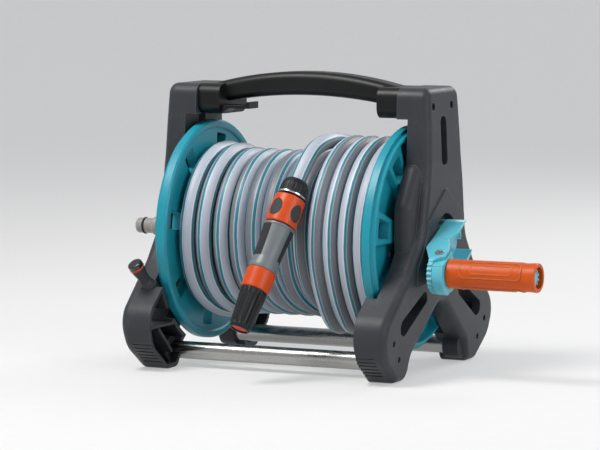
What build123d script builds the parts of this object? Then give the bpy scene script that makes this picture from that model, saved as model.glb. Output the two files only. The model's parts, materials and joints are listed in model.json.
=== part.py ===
from build123d import *
from math import cos, pi, radians, sin, tan
import os

# Portable garden hose reel: two moulded side frames on two steel base tubes, a carry handle
# across the top, a spoked drum with a folding crank, and a wound hose with its spray nozzle.
# Millimetres. X runs along the drum's axle towards the crank, -Y is the front, Z is up.
# The origin is under the middle of the rigid cart, on the ground.

os.makedirs("parts", exist_ok=True)

# ---------------------------------------------------------------- driving dimensions
axle_z = 138.7          # height of the drum's axis above the ground
running_fit = 0.08      # radial clearance of a shaft in its bearing
seat_fit = 0.05         # radial clearance of a fixed piece in its seat
face_gap = 0.3          # clearance between faces that pass each other

# drum
drum_gap = 222.0        # between the hose faces of the two flange lips
flange_r = 117.0
lip_depth = 9.8         # axial width of the flange's outer lip
lip_wall = 8.5          # radial width of the lip
rim_step_depth = 4.6    # second, smaller band outside the lip
rim_step_drop = 3.0
web_recess = 2.6        # the web lies this far behind the lip's hose face
web_thickness = 3.2
spoke_count = 8         # box spokes, each around one window
spoke_phase = 170.0     # degrees in the Y-Z plane of the first window
spoke_half_angle = 9.5
window_half_angle = 6.0
window_inner_r = 77.0
window_outer_r = 103.0
spoke_inner_r = 40.0
core_r = 70.0
core_wall = 3.0
journal_r = 18.0
journal_bore_r = 13.1
drum_screw_circle_r = 58.0
drum_screw_count = 4

# side frames
frame_gap = 3.0         # from the flange to the frame's inner face
frame_wall = 4.5
foot_in_x = 116.0       # inner face of the foot, from the drum's middle
foot_top_z = -52.0      # heights in the frame are measured from the axle
head_in_x = 115.4
head_bottom_z = 125.0
head_top_z = 157.0
bow_foot_x = 146.5      # the outer face is bowed: at the ground, at the axle, at the top
bow_axle_x = 154.4
bow_head_x = 150.0
tower_shift = 4.5       # the tower stands this far behind the axle
panel_rise = 1.3        # raised plate around the hub, pointed like a gable
panel_inset = 9.0
edge_round = 8.0
housing_half_y = 71.0   # bearing housing, forward and back of the waist
housing_depth = 18.0
foot_groove = 0.8
hub_recess_r = 27.0
hub_recess_x = 146.6
slot_half_width = 8.0
slot_bottom_z = 76.5
slot_top_z = 127.5
flange_clearance = 7.0  # radial space between the flange and the foot

# base tubes
tube_y = 79.0
tube_z = -121.4
tube_r = 9.3
tube_wall = 1.2
socket_wall = 4.2
socket_x = 124.0        # the sockets' collars begin here, inside the feet
tube_insert = 15.0

# carry handle
handle_block_in_x = 91.0
handle_block_half_y = 33.0
grip_half_y = 17.0
grip_top_z = 170.8
grip_bottom_z = 146.0
grip_end_bottom_z = 138.0
handle_screw_y = 24.0
handle_screw_z = 138.0

# crank
crank_r = 66.6
crank_angle = 205.8     # direction of the arm in the Y-Z plane at rest, degrees
arm_half_width = 21.5
arm_floor_x = 157.2
arm_floor = 2.3
arm_wall = 3.8
arm_top_x = 181.0
arm_step_r = 52.0       # from here out the arm's underside slopes away from the frame
stop_bottom_x = 168.2
fold_pin_reach = 62.0   # distance of the fold pin from the drum's axis
fold_pin_x = 176.0
fold_pin_r = 2.5
pin_lobe_r = 8.5
key_half = 15.4         # the crank's hub is keyed into the drum's journal
key_width = 4.0
key_depth = 8.0
knuckle_r = 21.5
knuckle_face_x = 185.2
knuckle_back_x = 174.0
grip_r = 15.0
grip_length = 96.5
spindle_r = 8.7

# hose and nozzle
hose_r = 8.4
layer_one_r = 88.0
loose_turns_r = 95.2
layer_two_r = 104.8
loose_turns_end_x = -68.0
layer_two_start_x = 43.6
nozzle_mouth = (29.5, -88.0, 67.5)
nozzle_direction = (-0.146, -0.501, -0.853)

# ---------------------------------------------------------------- derived sizes and planes
lip_face_x = drum_gap / 2
web_in_x = lip_face_x + web_recess
web_out_x = web_in_x + web_thickness
lip_out_x = lip_face_x + lip_depth
rim_out_x = lip_out_x + rim_step_depth
frame_in_x = rim_out_x + frame_gap
grip_start_x = knuckle_face_x + face_gap
grip_end_x = grip_start_x + grip_length
nipple_end_x = 206.0
drum_x = (nipple_end_x - grip_end_x) / 2
ground_z = -axle_z


def across(x):
    """Plane square to the axle at x from the drum's middle; local axes are Y and Z."""
    return Plane(origin=(drum_x + x, 0, axle_z), x_dir=(0, 1, 0), z_dir=(1, 0, 0))


def outward(x, side):
    """Plane square to the axle whose normal points out of the cart on that side."""
    return Plane(origin=(drum_x + side * x, 0, axle_z), x_dir=(0, side, 0), z_dir=(side, 0, 0))


def lengthwise(y):
    """Upright plane along the axle at y; local axes are X from the drum's middle and Z."""
    return Plane(origin=(drum_x, y, axle_z), x_dir=(1, 0, 0), z_dir=(0, -1, 0))


mid_plane = Plane(origin=(drum_x, 0, 0), z_dir=(1, 0, 0))
arm_way = Vector(0, cos(radians(crank_angle)), sin(radians(crank_angle)))


def crank_plane(x):
    """Plane square to the axle; local x runs along the crank arm."""
    return Plane(origin=(drum_x + x, 0, axle_z), x_dir=arm_way, z_dir=(1, 0, 0))


nozzle_way = Vector(*nozzle_direction).normalized()
nozzle_origin = Vector(drum_x, 0, axle_z) + Vector(*nozzle_mouth)


def nozzle_plane(s):
    """Plane square to the nozzle's axis, s beyond the hose nut's mouth."""
    return Plane(origin=nozzle_origin + nozzle_way * s, x_dir=(1, 0, -nozzle_way.X / nozzle_way.Z),
                 z_dir=nozzle_way)


# post on the front leg of the inlet side, where the nozzle is parked
post_foot = Vector(drum_x - 133.3, -114.3, axle_z - 50.1)
post_way = Vector(-0.24, -0.56, 0.79).normalized()
post_side = post_way.cross(Vector(0, 0, 1)).normalized()
post_plug = 6.0
post_plug_r = 5.9
post_flange_r = 8.4


def post_plane(s):
    """Plane square to the parking post, s above its foot."""
    return Plane(origin=post_foot + post_way * s, x_dir=post_side, z_dir=post_way)


def save(piece, name):
    """Label a finished piece and write its STEP file."""
    piece.part.label = name
    export_step(piece.part, f"parts/{name}.step")


# ---------------------------------------------------------------- side frames
# Outline of the frame, seen along the axle: the tower, and a leg with its foot on each side.
tower_edge = [(41, head_top_z), (45, 85), (49, 57)]
leg_edge = [
    (59, 4), (84, -26), (121, -57), (150, -81), (138, -115), (106, ground_z), (80, ground_z), (70, -114),
]
outline_points = [(tower_shift + y, z) for y, z in tower_edge] + leg_edge + [(0, -61)]
outline_points += [(-y, z) for y, z in reversed(leg_edge)]
outline_points += [(tower_shift - y, z) for y, z in reversed(tower_edge)]

with BuildSketch() as outline:
    Polygon(*outline_points, align=None)
    fillet(outline.vertices().filter_by_position(Axis.Y, head_top_z - 1, head_top_z + 1), 12)
    fillet(outline.vertices().filter_by_position(Axis.Y, -30, 90), 40)
    fillet(outline.vertices().filter_by_position(Axis.Y, -116, -80).filter_by(lambda v: abs(v.X) > 100), 30)
    fillet(outline.vertices().filter_by_position(Axis.Y, -62, -60), 22)
    fillet(outline.vertices().filter_by_position(Axis.Y, -115, -113), 12)
    fillet(outline.vertices().filter_by_position(Axis.Y, ground_z - 1, ground_z + 1), 11)


def outline_inset(amount):
    """The frame's outline, moved inward all round."""
    with BuildSketch() as inset:
        add(outline.sketch)
        offset(amount=-amount, mode=Mode.REPLACE)
    return inset.sketch


# slots that go right through: one in the tower and one along each leg
with BuildSketch() as slots:
    with Locations((0, (slot_bottom_z + slot_top_z) / 2)):
        RectangleRounded(2 * slot_half_width, slot_top_z - slot_bottom_z, slot_half_width - 1)
with BuildSketch() as leg_slot:
    with Locations((48, -57)):
        Circle(7)
    with Locations((97, -82)):
        Circle(9)
    make_hull()


def bow_section(rise):
    """Section of the frame along the axle, with its outer face raised by rise."""
    with BuildSketch(lengthwise(0)) as section:
        with BuildLine():
            ThreePointArc((bow_foot_x + rise, ground_z), (bow_axle_x + rise, 5),
                          (bow_head_x + rise, head_top_z))
            Polyline((bow_head_x + rise, head_top_z), (head_in_x, head_top_z), (head_in_x, head_bottom_z),
                     (frame_in_x, head_bottom_z), (frame_in_x, foot_top_z), (foot_in_x, foot_top_z),
                     (foot_in_x, ground_z), (bow_foot_x + rise, ground_z))
        make_face()
    return section.sketch


with BuildPart() as frame_body:
    with BuildSketch(across(foot_in_x)):
        add(outline.sketch)
    extrude(amount=60)
    extrude(bow_section(0), amount=200, both=True, mode=Mode.INTERSECT)
    outer_face = frame_body.faces().sort_by(Axis.X)[-1]
    fillet(outer_face.edges(), edge_round)

with BuildPart() as frame_panel:
    with BuildSketch(across(hub_recess_x)):
        Polygon((-70, -44), (-70, 5), (-48, 20), (2, 53), (54, 20), (74, 5), (74, -44), align=None)
        fillet(vertices(), 5)
        add(outline_inset(panel_inset), mode=Mode.INTERSECT)
    extrude(amount=30)
    extrude(bow_section(panel_rise), amount=200, both=True, mode=Mode.INTERSECT)

with BuildPart() as bearing_housing:
    with BuildSketch(across(frame_in_x)):
        Polygon((-housing_half_y, -16), (-housing_half_y, 38), (-42, 80), (42, 80),
                (housing_half_y, 38), (housing_half_y, -16), align=None)
        fillet(vertices(), 12)
    extrude(amount=housing_depth)
    fillet(faces().sort_by(Axis.X)[-1].edges(), 11)

with BuildPart() as foot_grooves:
    with BuildSketch(across(foot_in_x - 1)):
        for groove_z in range(-130, -106, 4):
            with Locations((128, groove_z), (-128, groove_z)):
                Rectangle(50, 1.5)
        add(outline.sketch, mode=Mode.INTERSECT)
        add(outline_inset(foot_groove), mode=Mode.SUBTRACT)
    extrude(amount=bow_foot_x - edge_round - foot_in_x)

with BuildPart() as frame_blank:
    add(frame_body.part)
    add(frame_panel.part)
    add(bearing_housing.part)
    add(foot_grooves.part, mode=Mode.SUBTRACT)
    # the flange turns inside the feet
    with BuildSketch(across(foot_in_x - 1)):
        Circle(flange_r + flange_clearance)
    extrude(amount=frame_in_x - foot_in_x + 1, mode=Mode.SUBTRACT)
    # slots, hub recess and bearing bore
    with BuildSketch(across(foot_in_x - 1)):
        add(slots.sketch)
        add(leg_slot.sketch)
        mirror(leg_slot.sketch, about=Plane.YZ)
    extrude(amount=60, mode=Mode.SUBTRACT)
    with BuildSketch(across(hub_recess_x)):
        Circle(hub_recess_r)
    extrude(amount=20, mode=Mode.SUBTRACT)
    with BuildSketch(across(frame_in_x - 2)):
        Circle(journal_r + running_fit)
    extrude(amount=30, mode=Mode.SUBTRACT)
    # feet are open on their inner side, with ribs
    with BuildSketch(across(foot_in_x - 1)):
        add(outline_inset(frame_wall))
        with Locations((0, 50)):
            Rectangle(400, 2 * (50 - foot_top_z) + 2 * frame_wall, mode=Mode.SUBTRACT)
        Circle(flange_r + flange_clearance + frame_wall, mode=Mode.SUBTRACT)
        with Locations((tube_y + 40, -92), (-tube_y - 40, -92)):
            Rectangle(60, 3, mode=Mode.SUBTRACT)
        with Locations(Location((108, -108), 42), Location((-108, -108), -42)):
            Rectangle(40, 3, mode=Mode.SUBTRACT)
    extrude(amount=bow_foot_x - frame_wall - foot_in_x + 1, mode=Mode.SUBTRACT)
    # sockets for the base tubes
    with BuildSketch(across(socket_x)):
        with Locations((tube_y, tube_z), (-tube_y, tube_z)):
            Circle(tube_r + socket_wall)
    extrude(amount=bow_foot_x - frame_wall - socket_x)
    with BuildSketch(across(foot_in_x - 1)):
        with Locations((tube_y, tube_z), (-tube_y, tube_z)):
            Circle(tube_r + seat_fit)
    extrude(amount=socket_x + tube_insert - foot_in_x + 1, mode=Mode.SUBTRACT)
    # screw holes in the head, and cored holes in the feet
    with BuildSketch(across(head_in_x - 1)):
        with Locations((handle_screw_y, handle_screw_z), (-handle_screw_y, handle_screw_z)):
            Circle(2.2)
    extrude(amount=50, mode=Mode.SUBTRACT)
    with BuildSketch(across(head_in_x + 14)):
        with Locations((handle_screw_y, handle_screw_z), (-handle_screw_y, handle_screw_z)):
            Circle(4.2)
        with Locations((120, -96), (104, -114), (-120, -96), (-104, -114)):
            Circle(3.4)
    extrude(amount=40, mode=Mode.SUBTRACT)

with BuildPart() as side_frame_crank:
    add(frame_blank.part)
save(side_frame_crank, "side_frame_crank")

with BuildPart() as side_frame_inlet:
    mirror(frame_blank.part, about=mid_plane)
    with BuildSketch(post_plane(-9)):
        Circle(9.2)
    extrude(amount=9)
    with BuildSketch(post_plane(0)):
        Circle(post_flange_r + face_gap)
    extrude(amount=5, mode=Mode.SUBTRACT)
    with BuildSketch(post_plane(-post_plug - face_gap)):
        Circle(post_plug_r + seat_fit)
    extrude(amount=post_plug + face_gap, mode=Mode.SUBTRACT)
save(side_frame_inlet, "side_frame_inlet")

# ---------------------------------------------------------------- base tubes
tube_half = socket_x + tube_insert - face_gap
for name, y in (("base_tube_front", -tube_y), ("base_tube_rear", tube_y)):
    with BuildPart() as base_tube:
        with BuildSketch(across(-tube_half)):
            with Locations((y, tube_z)):
                Circle(tube_r)
                Circle(tube_r - tube_wall, mode=Mode.SUBTRACT)
        extrude(amount=2 * tube_half)
    save(base_tube, name)

# ---------------------------------------------------------------- carry handle
block_centre_z = (head_top_z + head_bottom_z) / 2
with BuildPart() as carry_handle:
    with BuildSketch(lengthwise(-grip_half_y)):
        with BuildLine():
            ThreePointArc((-head_in_x + 2, head_top_z - 2), (0, grip_top_z), (head_in_x - 2, head_top_z - 2))
            Line((head_in_x - 2, head_top_z - 2), (head_in_x - 2, grip_end_bottom_z))
            Line((head_in_x - 2, grip_end_bottom_z), (handle_block_in_x, grip_end_bottom_z))
            ThreePointArc((handle_block_in_x, grip_end_bottom_z), (0, grip_bottom_z),
                          (-handle_block_in_x, grip_end_bottom_z))
            Line((-handle_block_in_x, grip_end_bottom_z), (-head_in_x + 2, grip_end_bottom_z))
            Line((-head_in_x + 2, grip_end_bottom_z), (-head_in_x + 2, head_top_z - 2))
        make_face()
    extrude(amount=-2 * grip_half_y)
    fillet(carry_handle.edges().group_by(Axis.Y)[0] + carry_handle.edges().group_by(Axis.Y)[-1], 8)
    for side in (-1, 1):
        with BuildSketch(outward(handle_block_in_x, side)):
            with Locations((0, block_centre_z)):
                RectangleRounded(2 * handle_block_half_y, head_top_z - head_bottom_z, 11)
        extrude(amount=head_in_x - handle_block_in_x)
        # pilot holes for the screws
        with BuildSketch(outward(head_in_x - 18, side)):
            with Locations((handle_screw_y, handle_screw_z), (-handle_screw_y, handle_screw_z)):
                Circle(1.8 + seat_fit)
        extrude(amount=18, mode=Mode.SUBTRACT)
save(carry_handle, "carry_handle")

hook_z = 131.0
with BuildPart() as hose_hook:
    with BuildSketch(lengthwise(-handle_block_half_y + 5)):
        with BuildLine():
            Polyline((-handle_block_in_x, hook_z - 5), (-handle_block_in_x + 9, hook_z),
                     (-handle_block_in_x + 33, hook_z), (-handle_block_in_x + 33, hook_z + 7),
                     (-handle_block_in_x + 30, hook_z + 7), (-handle_block_in_x + 28, hook_z + 3.4),
                     (-handle_block_in_x, hook_z + 3.4), close=True)
        make_face()
    extrude(amount=-22)
save(hose_hook, "hose_hook")

with BuildPart() as handle_screws:
    for side in (-1, 1):
        with BuildSketch(outward(head_in_x - 17, side)):
            with Locations((handle_screw_y, handle_screw_z), (-handle_screw_y, handle_screw_z)):
                Circle(1.8)
        extrude(amount=31)
        with BuildSketch(outward(head_in_x + 14, side)):
            with Locations((handle_screw_y, handle_screw_z), (-handle_screw_y, handle_screw_z)):
                Circle(3.9)
        extrude(amount=3)
        with BuildSketch(outward(head_in_x + 17, side)):
            with Locations((handle_screw_y, handle_screw_z), (-handle_screw_y, handle_screw_z)):
                Rectangle(4.6, 1.0)
                Rectangle(1.0, 4.6)
        extrude(amount=-1.6, mode=Mode.SUBTRACT)
save(handle_screws, "handle_screws")

# ---------------------------------------------------------------- drum
spoke_angles = [spoke_phase + 360 / spoke_count * i for i in range(spoke_count)]


def ring_sectors(inner_r, outer_r, half_angle, angles):
    """Sketch of ring sectors between two radii, one at each angle."""
    with BuildSketch() as ring:
        for angle in angles:
            start, middle, end = (radians(angle + turn) for turn in (-half_angle, 0, half_angle))
            inner = [(inner_r * cos(turn), inner_r * sin(turn)) for turn in (start, middle, end)]
            outer = [(outer_r * cos(turn), outer_r * sin(turn)) for turn in (end, middle, start)]
            with BuildLine():
                ThreePointArc(*inner)
                Line(inner[2], outer[0])
                ThreePointArc(*outer)
                Line(outer[2], inner[0])
            make_face()
    return ring.sketch


with BuildPart() as flange_blank:
    # lip, stepped rim, web and journal in one turned section; local axes are X and radius
    with BuildSketch(lengthwise(0)):
        with BuildLine():
            Polyline((web_in_x, journal_bore_r), (web_in_x, flange_r - lip_wall),
                     (lip_face_x + 1.5, flange_r - lip_wall), (lip_face_x, flange_r - lip_wall + 2),
                     (lip_face_x, flange_r - 2), (lip_face_x + 2, flange_r), (lip_out_x, flange_r),
                     (lip_out_x, flange_r - rim_step_drop), (rim_out_x, flange_r - rim_step_drop - 1.5),
                     (rim_out_x, flange_r - lip_wall + 1.5), (web_out_x, flange_r - lip_wall - 1),
                     (web_out_x, journal_r + 3), (frame_in_x - face_gap, journal_r + 3),
                     (frame_in_x - face_gap, journal_r), (hub_recess_x - 1, journal_r),
                     (hub_recess_x - 1, journal_bore_r), close=True)
        make_face()
    revolve(axis=Axis((drum_x, 0, axle_z), (1, 0, 0)))
    # box spokes on the outer side, each around its window
    with BuildSketch(across(web_out_x - 1)):
        add(ring_sectors(spoke_inner_r, flange_r - lip_wall + 0.5, spoke_half_angle, spoke_angles))
    extrude(amount=rim_out_x - web_out_x)
    with BuildSketch(across(lip_face_x)):
        add(ring_sectors(window_inner_r, window_outer_r, window_half_angle, spoke_angles))
    extrude(amount=rim_out_x - lip_face_x + 1, mode=Mode.SUBTRACT)
    # the drum core is screwed on through the web
    with BuildSketch(across(web_in_x - 1)):
        with PolarLocations(drum_screw_circle_r, drum_screw_count, start_angle=spoke_phase + 22.5):
            Circle(2.1)
    extrude(amount=web_thickness + 2, mode=Mode.SUBTRACT)

for name, side in (("flange_crank", 1), ("flange_inlet", -1)):
    with BuildPart() as flange:
        if side > 0:
            add(flange_blank.part)
            # keyways for the crank and a post for its screw
            with BuildSketch(crank_plane(hub_recess_x - key_depth - face_gap)):
                Rectangle(2 * key_half + 2 * seat_fit, key_width + 2 * seat_fit)
            extrude(amount=key_depth + 2, mode=Mode.SUBTRACT)
            with BuildSketch(across(web_in_x)):
                Circle(journal_bore_r + 0.5)
            extrude(amount=web_thickness)
            with BuildSketch(across(web_out_x)):
                Circle(5.5)
                Circle(2.4 + seat_fit, mode=Mode.SUBTRACT)
            extrude(amount=8)
        else:
            mirror(flange_blank.part, about=mid_plane)
    save(flange, name)

core_half = web_in_x - face_gap / 3
core_opening = 18.8
elbow_x = -100.0
elbow_angle = 206.5     # direction of the elbow's arm in the Y-Z plane at rest, degrees
elbow_reach = core_r - 20
with BuildPart() as drum_core:
    with BuildSketch(across(-core_half)):
        Circle(core_r)
        Circle(core_r - core_wall, mode=Mode.SUBTRACT)
    extrude(amount=2 * core_half)
    for side in (-1, 1):
        with BuildSketch(outward(core_half - 22, side)):
            with PolarLocations(drum_screw_circle_r, drum_screw_count,
                                start_angle=side * (spoke_phase + 22.5) + (0 if side > 0 else 180)):
                Circle(4.6)
                with Locations(((core_r - core_wall / 2 - drum_screw_circle_r) / 2, 0)):
                    Rectangle(core_r - core_wall / 2 - drum_screw_circle_r, 2.4)
                Circle(1.7, mode=Mode.SUBTRACT)
        extrude(amount=22)
    # the hose's inner end passes out through the wall here
    with BuildSketch(across(elbow_x - core_opening / 2)):
        add(ring_sectors(core_r - core_wall - 1, core_r + 1, 19, (elbow_angle + 43,)))
    extrude(amount=core_opening, mode=Mode.SUBTRACT)
save(drum_core, "drum_core")

with BuildPart() as drum_screws:
    for side in (-1, 1):
        start = side * (spoke_phase + 22.5) + (0 if side > 0 else 180)
        with BuildSketch(outward(web_in_x - 14, side)):
            with PolarLocations(drum_screw_circle_r, drum_screw_count, start_angle=start):
                Circle(1.65)
        extrude(amount=14 + web_thickness)
        with BuildSketch(outward(web_out_x, side)):
            with PolarLocations(drum_screw_circle_r, drum_screw_count, start_angle=start):
                Circle(3.6)
        extrude(amount=2.6)
save(drum_screws, "drum_screws")

# ---------------------------------------------------------------- water path
axle_line = Axis((drum_x, 0, axle_z), (1, 0, 0))
elbow_r = journal_bore_r - seat_fit
elbow_bore_r = 10.1
elbow_start_x = -(hub_recess_x - 3)
elbow_end_x = elbow_x + elbow_r
arm_r = 8.6
barb_r = 6.4
barb_bore_r = 4.5
barb_start = 9.0        # the hose barb leaves the arm's end sideways
barb_end = 30.0
elbow_way = Vector(0, cos(radians(elbow_angle)), sin(radians(elbow_angle)))
barb_way = Vector(1, 0, 0).cross(elbow_way)
elbow_origin = Vector(drum_x + elbow_x, 0, axle_z)


def barb_plane(s):
    """Plane square to the hose barb, s from the middle of the elbow's arm."""
    corner = elbow_origin + elbow_way * elbow_reach
    return Plane(origin=corner + barb_way * s, x_dir=(1, 0, 0), z_dir=barb_way)


with BuildPart() as water_elbow:
    with BuildSketch(across(elbow_start_x)):
        Circle(elbow_r)
    extrude(amount=elbow_end_x - elbow_start_x)
    with BuildSketch(Plane(origin=elbow_origin, x_dir=(1, 0, 0), z_dir=elbow_way)):
        Circle(arm_r)
    extrude(amount=elbow_reach + arm_r)
    with BuildSketch(barb_plane(0)):
        Circle(arm_r)
    extrude(amount=barb_start)
    with BuildSketch(barb_plane(barb_start)):
        Circle(barb_r)
    extrude(amount=barb_end - barb_start)
    with BuildSketch(across(elbow_start_x)):
        Circle(elbow_bore_r)
    extrude(amount=elbow_end_x - 6 - elbow_start_x, mode=Mode.SUBTRACT)
    with BuildSketch(Plane(origin=elbow_origin, x_dir=(1, 0, 0), z_dir=elbow_way)):
        Circle(barb_bore_r)
    extrude(amount=elbow_reach, mode=Mode.SUBTRACT)
    with BuildSketch(barb_plane(0)):
        Circle(barb_bore_r)
    extrude(amount=barb_end, mode=Mode.SUBTRACT)
save(water_elbow, "water_elbow")

# nut that clamps the hose's inner end: its neck sits on the barb and its cup takes the hose
clamp_neck = 3.0
clamp_length = 14.0
with BuildPart() as hose_clamp_nut:
    with BuildSketch(barb_plane(barb_start + 0.1)):
        RegularPolygon(12, 8)
        Circle(barb_r + seat_fit, mode=Mode.SUBTRACT)
    extrude(amount=clamp_length)
    with BuildSketch(barb_plane(barb_start + 0.1 + clamp_neck)):
        Circle(hose_r + seat_fit)
    extrude(amount=clamp_length, mode=Mode.SUBTRACT)
save(hose_clamp_nut, "hose_clamp_nut")

nipple_root_x = hub_recess_x
nipple_collar_r = hub_recess_r - 1
spigot_r = 9.4
spigot_end_x = 108.0
nipple_bore_r = 4.6
nipple_r = 8.2
outer_ring_x = 197.0
ring_section_r = 1.3
groove_r = 6.6
swivel_ring_xs = (120.0, 128.0)
swivel_ring_r = 1.25
swivel_groove_r = elbow_bore_r - 0.1 - 2 * swivel_ring_r
with BuildPart() as inlet_nipple:
    with BuildSketch(lengthwise(0)):
        with BuildLine():
            Polyline((-spigot_end_x, nipple_bore_r), (-spigot_end_x, spigot_r), (-nipple_root_x, spigot_r),
                     (-nipple_root_x, nipple_collar_r), (-bow_axle_x + 2, nipple_collar_r),
                     (-bow_axle_x, nipple_collar_r - 2), (-bow_axle_x, 16), (-bow_axle_x - 3, 13.4),
                     (-bow_axle_x - 12, 12.8), (-bow_axle_x - 15, nipple_r + 1), (-bow_axle_x - 24, nipple_r),
                     (-bow_axle_x - 26, nipple_r + 2), (-bow_axle_x - 30, nipple_r + 2),
                     (-bow_axle_x - 33, nipple_r), (-nipple_end_x + 1.5, nipple_r),
                     (-nipple_end_x, nipple_r - 1.2), (-nipple_end_x, nipple_bore_r), close=True)
        make_face()
        with Locations((-outer_ring_x, groove_r + 5)):
            Rectangle(2 * ring_section_r + 0.2, 10, mode=Mode.SUBTRACT)
        for ring_x in swivel_ring_xs:
            with Locations((-ring_x, swivel_groove_r + 5)):
                Rectangle(2 * swivel_ring_r + 0.2, 10, mode=Mode.SUBTRACT)
    revolve(axis=axle_line)
save(inlet_nipple, "inlet_nipple")

with BuildPart() as inlet_o_ring:
    with BuildSketch(lengthwise(0)):
        with Locations((-outer_ring_x, groove_r + ring_section_r)):
            Circle(ring_section_r)
    revolve(axis=axle_line)
save(inlet_o_ring, "inlet_o_ring")

with BuildPart() as swivel_o_rings:
    with BuildSketch(lengthwise(0)):
        for ring_x in swivel_ring_xs:
            with Locations((-ring_x, swivel_groove_r + swivel_ring_r)):
                Circle(swivel_ring_r)
    revolve(axis=axle_line)
save(swivel_o_rings, "swivel_o_rings")

# ---------------------------------------------------------------- crank
arm_end = crank_r + knuckle_r
hub_boss_r = journal_bore_r - seat_fit
channel_half = arm_half_width - arm_wall
knuckle_half = channel_half - face_gap
floor_top_x = arm_floor_x + arm_floor
stop_top_x = knuckle_back_x - 0.8
barrel_r = knuckle_face_x - fold_pin_x
stop_start = fold_pin_reach + barrel_r + 1
cradle_x = fold_pin_x + crank_r - fold_pin_reach    # axis of the folded grip
cradle_r = grip_r + 1.4
end_wall_x = cradle_x - cradle_r


def arm_side():
    """Side outline of the arm; local x runs along the arm and local y is X."""
    with BuildSketch() as side:
        Polygon((-arm_half_width - 1, arm_floor_x), (-arm_half_width - 1, arm_top_x - 5), (-14, arm_top_x),
                (8, arm_top_x), (34, arm_top_x - 5), (fold_pin_reach - 4, fold_pin_x + pin_lobe_r),
                (fold_pin_reach + 5, fold_pin_x + pin_lobe_r), (fold_pin_reach + 9, fold_pin_x + 2),
                (stop_start + 2, stop_top_x), (arm_end + 1, stop_top_x), (arm_end + 1, stop_bottom_x),
                (stop_start, stop_bottom_x), (arm_step_r, arm_floor_x), align=None)
        fillet(side.vertices().filter_by_position(Axis.Y, arm_top_x - 6, arm_top_x + 5), 5)
    return side.sketch


def channel_side():
    """Side outline of the channel in the arm, with a low wall round its hub end."""
    with BuildSketch() as side:
        Polygon((-40, end_wall_x), (-channel_half, end_wall_x), (-channel_half, floor_top_x),
                (arm_step_r, floor_top_x), (stop_start, floor_top_x + stop_bottom_x - arm_floor_x),
                (stop_start, arm_top_x + 20), (-40, arm_top_x + 20), align=None)
    return side.sketch


arm_upright = Plane(origin=(drum_x, 0, axle_z), x_dir=arm_way, z_dir=arm_way.cross(Vector(1, 0, 0)))


def arm_cross(reach):
    """Plane across the arm, on the channel's floor at this distance from the drum's axis; local y is X."""
    return Plane(origin=crank_plane(floor_top_x).from_local_coords(Vector(reach, 0, 0)),
                 x_dir=Vector(1, 0, 0).cross(arm_way), z_dir=arm_way)


with BuildPart() as crank_arm:
    with BuildSketch(crank_plane(arm_floor_x)):
        Circle(arm_half_width - 1)
        with Locations((crank_r, 0)):
            Circle(arm_half_width)
        make_hull()
    extrude(amount=30)
    with BuildSketch(arm_upright):
        add(arm_side())
    extrude(amount=40, both=True, mode=Mode.INTERSECT)
    # the channel that the folded grip lies in
    with BuildSketch(arm_upright):
        add(channel_side())
    extrude(amount=channel_half, both=True, mode=Mode.SUBTRACT)
    with BuildSketch(crank_plane(stop_top_x)):
        with Locations((stop_start + 25, 0)):
            Rectangle(50, 2 * channel_half)
    extrude(amount=40, mode=Mode.SUBTRACT)
    # cross ribs, hollowed for the folded grip, and one rib along the floor
    for reach in (18, 38):
        with BuildSketch(arm_cross(reach)):
            Rectangle(2 * channel_half + 1, 16)
            with Locations((0, cradle_x - floor_top_x)):
                Circle(cradle_r, mode=Mode.SUBTRACT)
            with Locations((0, -8)):
                Rectangle(60, 16, mode=Mode.SUBTRACT)
        extrude(amount=2.2)
    with BuildSketch(crank_plane(floor_top_x)):
        with Locations(((8 + arm_step_r) / 2, 0)):
            Rectangle(arm_step_r - 8, 2.2)
    extrude(amount=3.2)
    # grip ribs on the outside of the stop block
    with BuildSketch(crank_plane(arm_floor_x)):
        with Locations((crank_r, 0)):
            with PolarLocations(arm_half_width + 0.6, 9, start_angle=-62, angular_range=124):
                Circle(1.9)
    extrude(amount=stop_top_x - arm_floor_x, mode=Mode.SUBTRACT)
    # hub: a disc in the frame's recess, a boss in the journal and its two keys
    with BuildSketch(crank_plane(hub_recess_x + 0.6)):
        Circle(20)
    extrude(amount=arm_floor_x - hub_recess_x)
    with BuildSketch(crank_plane(hub_recess_x + 1)):
        Circle(hub_boss_r)
    extrude(amount=-20)
    with BuildSketch(crank_plane(hub_recess_x + 1)):
        Rectangle(2 * key_half, key_width)
    extrude(amount=-key_depth)
    with Locations(Location(crank_plane(floor_top_x))):
        Hole(2.5)
    with BuildSketch(crank_plane(floor_top_x)):
        Circle(5.6)
    extrude(amount=-1.9, mode=Mode.SUBTRACT)
    # bore for the fold pin
    with BuildSketch(arm_upright):
        with Locations((fold_pin_reach, fold_pin_x)):
            Circle(fold_pin_r + seat_fit)
    extrude(amount=40, both=True, mode=Mode.SUBTRACT)
save(crank_arm, "crank_arm")

with BuildPart() as crank_screw:
    with BuildSketch(crank_plane(web_out_x + 2)):
        Circle(2.4)
    extrude(amount=floor_top_x - 1.9 - web_out_x - 2)
    with BuildSketch(crank_plane(floor_top_x - 1.9)):
        Circle(5.4)
    extrude(amount=1.8)
    with BuildSketch(crank_plane(floor_top_x - 0.1)):
        Rectangle(6, 1.2)
        Rectangle(1.2, 6)
    extrude(amount=-1.1, mode=Mode.SUBTRACT)
save(crank_screw, "crank_screw")

with BuildPart() as crank_fold_pin:
    with BuildSketch(arm_upright.offset(-arm_half_width - 0.2)):
        with Locations((fold_pin_reach, fold_pin_x)):
            Circle(fold_pin_r)
    extrude(amount=2 * arm_half_width + 0.4)
    with BuildSketch(arm_upright.offset(arm_half_width)):
        with Locations((fold_pin_reach, fold_pin_x)):
            Circle(4.6)
    extrude(amount=1.4)
save(crank_fold_pin, "crank_fold_pin")

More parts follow.
